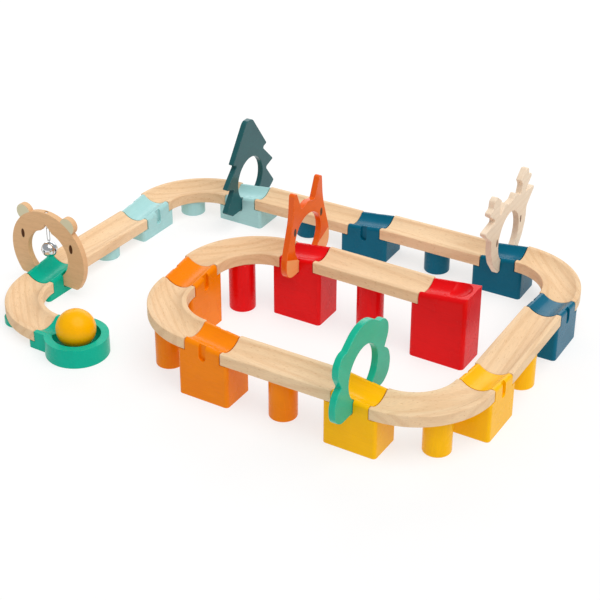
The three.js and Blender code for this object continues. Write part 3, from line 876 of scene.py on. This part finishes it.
def bellPea():
    # the ball that rattles at the bottom of the shell
    inside = bellUp - shellRadius + shellWall
    return moved(solidSphere(bellParts["pea"]), 0, 0,
                 inside + bellParts["pea"] + run["touchGap"])


# posts and ball

post = {"radius": 15.5, "edge": {"offset": 1.2, "segments": 4, "sharpness": 60}}


def makePost(height):
    return roundEdges(makeRod(post["radius"], 0, height), **post["edge"])


ball = {"radius": 22.5}


def makeBall():
    bm = bmesh.new()
    bmesh.ops.create_icosphere(bm, subdivisions=6, radius=ball["radius"])
    return bm


# the run from its top: block, its paint, its skew in degrees, the track after it, that track's
# post with its paint and how far it stands off the track's middle, and the arch over the block
stops = [
    ("start_block", "red", 0.3, "track_straight_1", ("post_red_1", "red", -3.2, 0), None),
    ("block_red", "red", 0.9, "track_curve_1", ("post_red_2", "red", 4.5, -5), "fox"),
    ("block_orange_1", "orange", -1.7, "track_curve_2", ("post_orange_1", "orange", 0, 0), None),
    ("block_orange_2", "orange", 0.9, "track_straight_2", ("post_orange_2", "orange", -2, 0), None),
    ("block_yellow_1", "yellow", -0.6, "track_curve_3",
     ("post_yellow_1", "yellow", 2.5, 6.5), "tree"),
    ("block_yellow_2", "yellow", 1.4, "track_straight_3",
     ("post_yellow_2", "yellow", 5.2, 0), None),
    ("block_blue_1", "blue", 0.7, "track_curve_4", ("post_blue_1", "blue", 0, 0), None),
    ("block_blue_2", "blue", -0.7, "track_straight_4",
     ("post_blue_2", "blue", 3.4, -2.6), "reindeer"),
    ("block_blue_3", "blue", 0.4, "track_straight_5", ("post_blue_3", "blue", 0, 0), None),
    ("block_light_blue_1", "lightBlue", -1.9, "track_curve_5",
     ("post_light_blue_1", "lightBlue", 3.6, -3), "fir"),
    ("block_light_blue_2", "lightBlue", -2.7, "track_straight_6",
     ("post_light_blue_2", "lightBlue", 5.4, 6.5), None),
    ("block_green", "green", 1.2, "track_curve_6", ("post_green", "green", -2.8, -8.9), "bear"),
    ("bowl_block", "green", 1.8, None, None, None),
]
bellPieces = [
    ("bell_eye_pin", eyePin, steel, "arch_bear"),
    ("bell_loop", bellLoop, wire, "bell"),
    ("bell_shell", bellShell, steel, "bell"),
    ("bell_pea", bellPea, steel, "bell"),
]


def camel(name):
    words = name.split("_")
    return words[0] + "".join(word.capitalize() for word in words[1:])


def setAt(x, y, z, yaw):
    place = (x * millimetre, y * millimetre, z * millimetre)
    return Matrix.Translation(place) @ Matrix.Rotation(yaw, 4, "Z")


# for each kind of piece, its first place in the pile of trees, and how deep the heart lies under it
pile = {"track": (0, -17.0), "block": (20, 40), "arch": (40, 30), "post": (60, 30)}
treeSpacing = 617.0


def sawn(kind, count, turn=0.0):
    # how a piece lay in its tree: turned to the trunk and a little askew, no two alike
    first, deep = pile[kind]
    count += first
    askew = Matrix.Rotation(math.radians(3.2 * math.sin(2.3 * count + 1)), 4, "Y")
    askew = askew @ Matrix.Rotation(math.radians(4.0 * math.cos(1.9 * count)), 4, "Z")
    heart = Matrix.Translation((count * treeSpacing, 8 * math.sin(2.1 * count),
                                5 * math.cos(1.7 * count) - deep))
    return heart @ askew @ Matrix.Rotation(turn, 4, "Z")


def layOut():
    # where every piece stands, from the start block down to the bowl
    places = []
    x = y = 0.0
    heading = math.pi
    for count, (blockName, paint, skew, track, under, archKind) in enumerate(stops):
        top = run["firstTop"] - run["step"] * count
        turn = math.radians(skew)
        stand = (x, y, heading + turn / 2)
        heading += turn
        stop = {"name": blockName, "paint": paint, "top": top, "stand": stand, "arch": archKind}
        if track:
            start = run["shoulderLength"] / 2 + run["endGap"]
            curved = track.startswith("track_curve")
            if curved:
                pitch = run["curveRadius"] + start
                diagonal = run["curveRadius"] * math.sin(math.pi / 4)
                middle = (start + diagonal, run["curveRadius"] - diagonal)
            else:
                pitch = run["straightLength"] + 2 * start
                middle = (pitch / 2, 0)
            ahead = Vector((math.cos(heading), math.sin(heading)))
            left = Vector((-ahead.y, ahead.x))
            here = Vector((x, y))
            at = here + ahead * (start if curved else pitch / 2)
            spot = here + ahead * middle[0] + left * middle[1] + Vector(under[2:])
            stop.update({"track": track, "trackAt": (at.x, at.y, heading), "curved": curved,
                         "post": under[0], "postPaint": under[1], "postAt": (spot.x, spot.y)})
            here += ahead * pitch + (left * pitch if curved else Vector((0, 0)))
            x, y = here
            heading += math.pi / 2 if curved else 0
        places.append(stop)
    return places


places = layOut()
bowlX, bowlY, bowlYaw = places[-1]["stand"]
bowlX += bowl["at"] * math.cos(bowlYaw)
bowlY += bowl["at"] * math.sin(bowlYaw)
# the layout starts at the start block, and the ball tells where that lies in the shared frame
ballLow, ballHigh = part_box("ball")
shiftX = (ballLow[0] + ballHigh[0]) / 2 / millimetre - bowlX
shiftY = (ballLow[1] + ballHigh[1]) / 2 / millimetre - bowlY
print("run shifted by", round(shiftX, 2), round(shiftY, 2))

for count, stop in enumerate(places):
    sx, sy, yaw = stop["stand"]
    here = setAt(sx + shiftX, sy + shiftY, 0, yaw)
    if stop["name"] == "start_block":
        shape = startBlock(stop["top"])
    elif stop["name"] == "bowl_block":
        shape = bowlBlock(stop["top"] + run["step"])
    else:
        shape = middleBlock(stop["top"])
    finishPiece(shape, camel(stop["name"]), here, paintOf[stop["paint"]], "base", [stop["name"]],
                sawn("block", count))
    if stop["arch"]:
        kind = stop["arch"]
        saddle = setAt(sx + shiftX, sy + shiftY, stop["top"] + run["step"] / 2, yaw)
        finishPiece(archSolid(kind), kind + "Arch", saddle, archMaterials(kind), "arch_" + kind,
                    ["arch_" + kind], sawn("arch", count, math.pi / 2))
        if kind == "bear":
            for name, make, metal, bodyName in bellPieces:
                finishPiece(make(), camel(name), saddle, [metal, metal], bodyName, [name])
    if "track" in stop:
        tx, ty, heading = stop["trackAt"]
        shape = curvedTrack() if stop["curved"] else straightTrack()
        finishPiece(shape, camel(stop["track"]),
                    setAt(tx + shiftX, ty + shiftY, stop["top"], heading), [beech, beech],
                    stop["track"], [stop["track"]],
                    sawn("track", count, -math.pi / 4 if stop["curved"] else 0))
        px, py = stop["postAt"]
        height = stop["top"] - run["trackThickness"] - run["touchGap"]
        finishPiece(makePost(height), camel(stop["post"]), setAt(px + shiftX, py + shiftY, 0, 0),
                    paintOf[stop["postPaint"]], "base", [stop["post"]],
                    sawn("post", count) @ Matrix.Rotation(math.pi / 2, 4, "Y"))
ballUp = bowl["floor"] + ball["radius"] + run["touchGap"]
finishPiece(makeBall(), "woodenBall", setAt(bowlX + shiftX, bowlY + shiftY, ballUp, 0),
            paintOf["ball"], "ball", ["ball"])

# floor, light and camera

ground = {"size": 9, "mottle": 6.0, "dark": 0.29, "pale": 0.33, "glow": 0.67, "roughness": 0.9,
          "shine": 0.1}
# white paper lit from below: it glows, so that shadows and tints on it stay faint
floorMaterial, floorTree, floorShader = newMaterial("paperFloor")
own = addNode(floorTree, "TexCoord").outputs["Object"]
mottle = addNode(floorTree, "TexNoise", {}, {"Vector": own, "Scale": ground["mottle"],
                                             "Detail": 2.0}).outputs[0]
tone = ramp(floorTree, mottle, 0.0, 1.0, ground["dark"], ground["pale"])
connect(floorTree, floorShader, {"Base Color": tone})
floorShader.inputs["Emission Color"].default_value = (1, 1, 1, 1)
floorShader.inputs["Emission Strength"].default_value = ground["glow"]
floorShader.inputs["Roughness"].default_value = ground["roughness"]
floorShader.inputs["Specular IOR Level"].default_value = ground["shine"]
floorBm = bmesh.new()
bmesh.ops.create_grid(floorBm, x_segments=1, y_segments=1, size=ground["size"])
floor = toObject(floorBm, "floor")
floor.data.materials.append(floorMaterial)

studio = {"colour": "#f6f8fc", "strength": 0.45}
world = bpy.data.worlds.new("studio")
bpy.context.scene.world = world
world.use_nodes = True
background = world.node_tree.nodes["Background"]
background.inputs["Color"].default_value = toLinear(studio["colour"])
background.inputs["Strength"].default_value = studio["strength"]


def towards(azimuth, elevation):
    # a direction away from the run, in degrees round from its front and up from the floor
    around, up = math.radians(azimuth), math.radians(elevation)
    return Vector((math.sin(around) * math.cos(up), -math.cos(around) * math.cos(up),
                   math.sin(up)))


def hang(name, data, azimuth, elevation, distance):
    # hangs a lamp that faces the run's middle
    lamp = bpy.data.objects.new(name, data)
    back = towards(azimuth, elevation)
    lamp.location = back * distance
    lamp.rotation_mode = "QUATERNION"
    lamp.rotation_quaternion = back.to_track_quat("Z", "Y")
    bpy.context.scene.collection.objects.link(lamp)


softbox = {"azimuth": 75, "elevation": 66, "strength": 2.12, "spread": 60, "colour": "#fffcf8"}
softboxData = bpy.data.lights.new("overheadSoftbox", "SUN")
softboxData.energy = softbox["strength"]
softboxData.angle = math.radians(softbox["spread"])
softboxData.color = toLinear(softbox["colour"])[:3]
hang("overheadSoftbox", softboxData, softbox["azimuth"], softbox["elevation"], 0)

# a wide bright panel behind the run, which the level faces mirror as a pale sheen
panel = {"wide": 3.4, "tall": 1.3, "power": 24.0, "azimuth": 211.0, "elevation": 24.0,
         "distance": 2.4}
panelData = bpy.data.lights.new("backPanel", "AREA")
panelData.shape = "RECTANGLE"
panelData.size, panelData.size_y = panel["wide"], panel["tall"]
panelData.energy = panel["power"]
hang("backPanel", panelData, panel["azimuth"], panel["elevation"], panel["distance"])

view = {"azimuth": 30.93, "elevation": 30.99, "roll": 0.12, "distance": 1.8896, "lens": 96.42,
        "sensor": 36.0, "near": 0.05, "far": 50.0, "target": (0.00556, 0.02051, 0.0)}
cameraData = bpy.data.cameras.new("camera")
cameraData.lens = view["lens"]
cameraData.sensor_width = view["sensor"]
cameraData.clip_start, cameraData.clip_end = view["near"], view["far"]
camera = bpy.data.objects.new("camera", cameraData)
back = towards(view["azimuth"], view["elevation"])
camera.location = Vector(view["target"]) + back * view["distance"]
camera.rotation_mode = "QUATERNION"
camera.rotation_quaternion = (-back).to_track_quat("-Z", "Y")
camera.rotation_quaternion.rotate(Matrix.Rotation(math.radians(view["roll"]), 3, back))
bpy.context.scene.collection.objects.link(camera)
bpy.context.scene.camera = camera
bpy.context.scene.view_settings.view_transform = "Standard"
print("scene lit")
